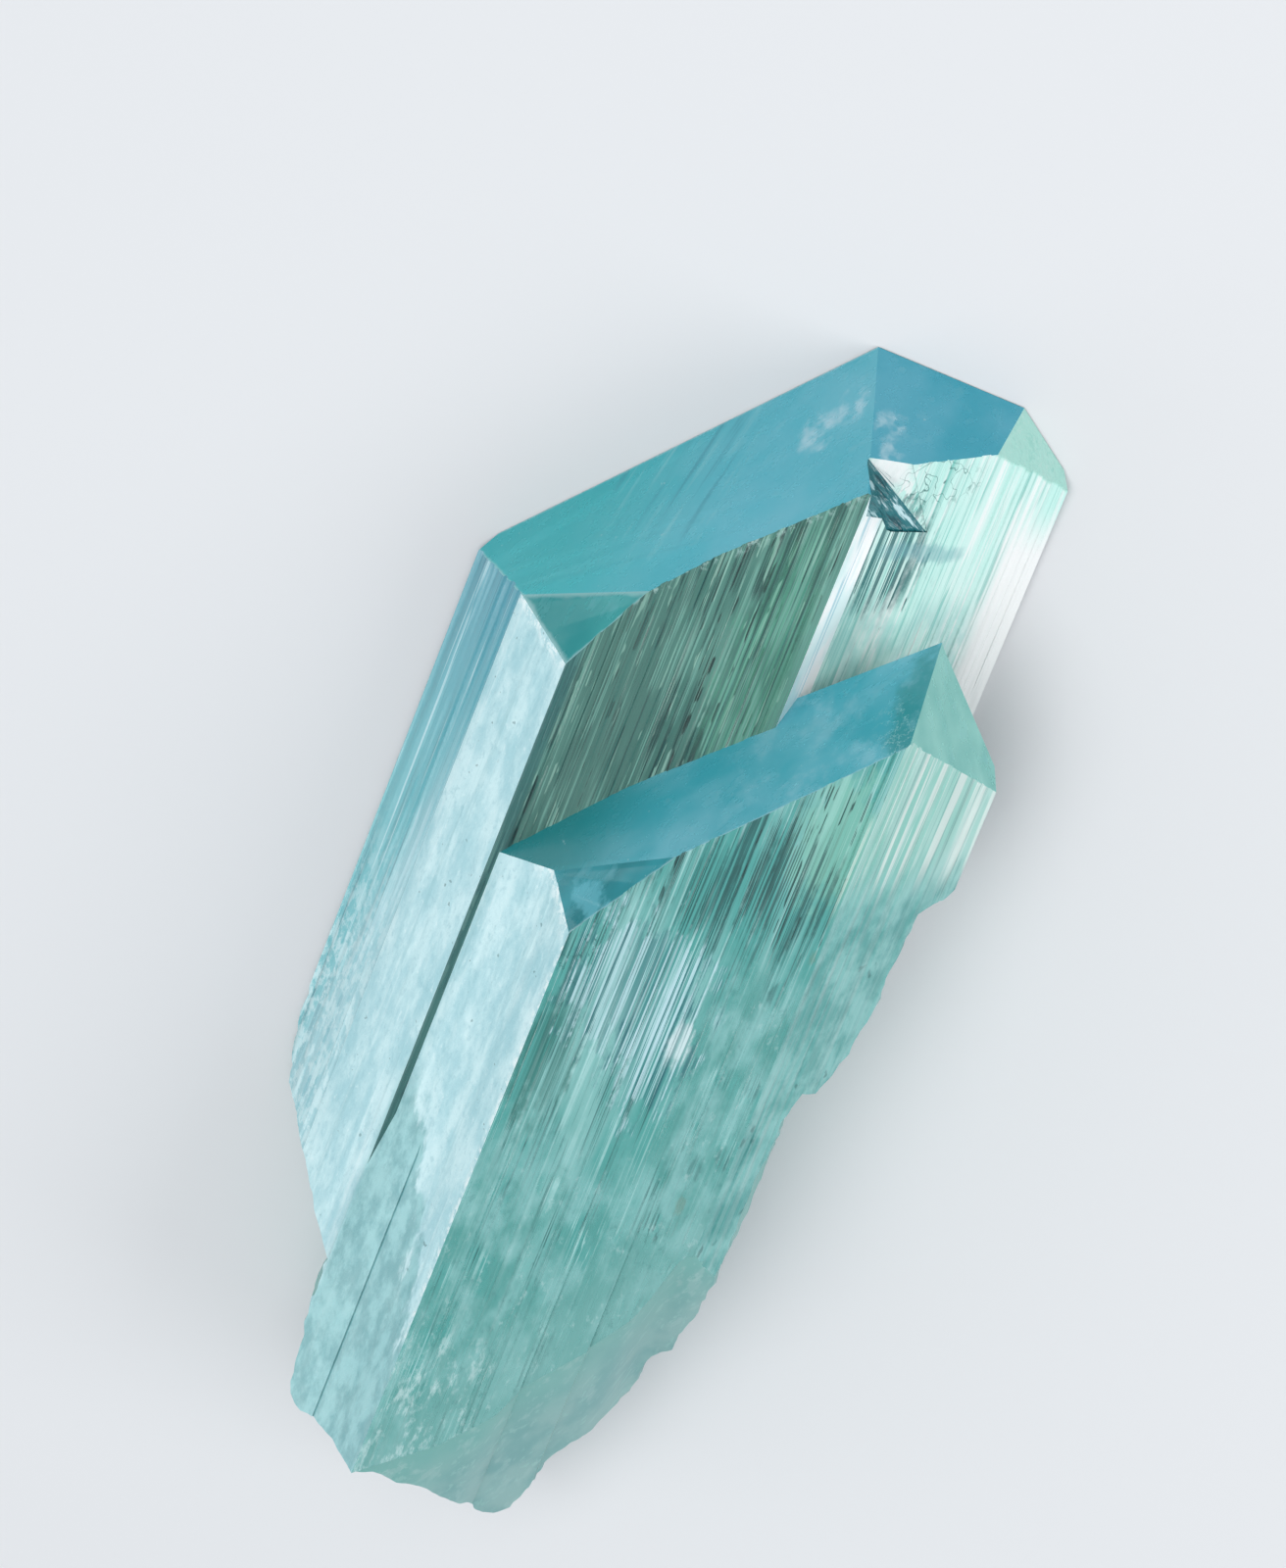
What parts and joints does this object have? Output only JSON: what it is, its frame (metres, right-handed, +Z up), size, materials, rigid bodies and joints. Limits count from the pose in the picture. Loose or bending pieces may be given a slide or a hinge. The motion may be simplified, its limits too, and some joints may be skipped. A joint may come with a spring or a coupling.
{
  "type": "kunzite crystal",
  "caption": "Blue-green spodumene crystal: a flat striated prism with a slanting faceted head, a smaller parallel crystal grown on its front, and a broken lower end.",
  "frame": {"origin": "bottom centre of the box round the crystal, on the surface that it lies on", "axes": "+Y along the crystal's length to its finished head, +Z up out of its broad front face, +X across it"},
  "size_m": [0.0228, 0.0548, 0.0107],
  "materials": {
    "spodumene": "natural crystal faces, satin to silky"
  },
  "bodies": {
    "root": {"crystal": "spodumene"}
  },
  "joints": []
}
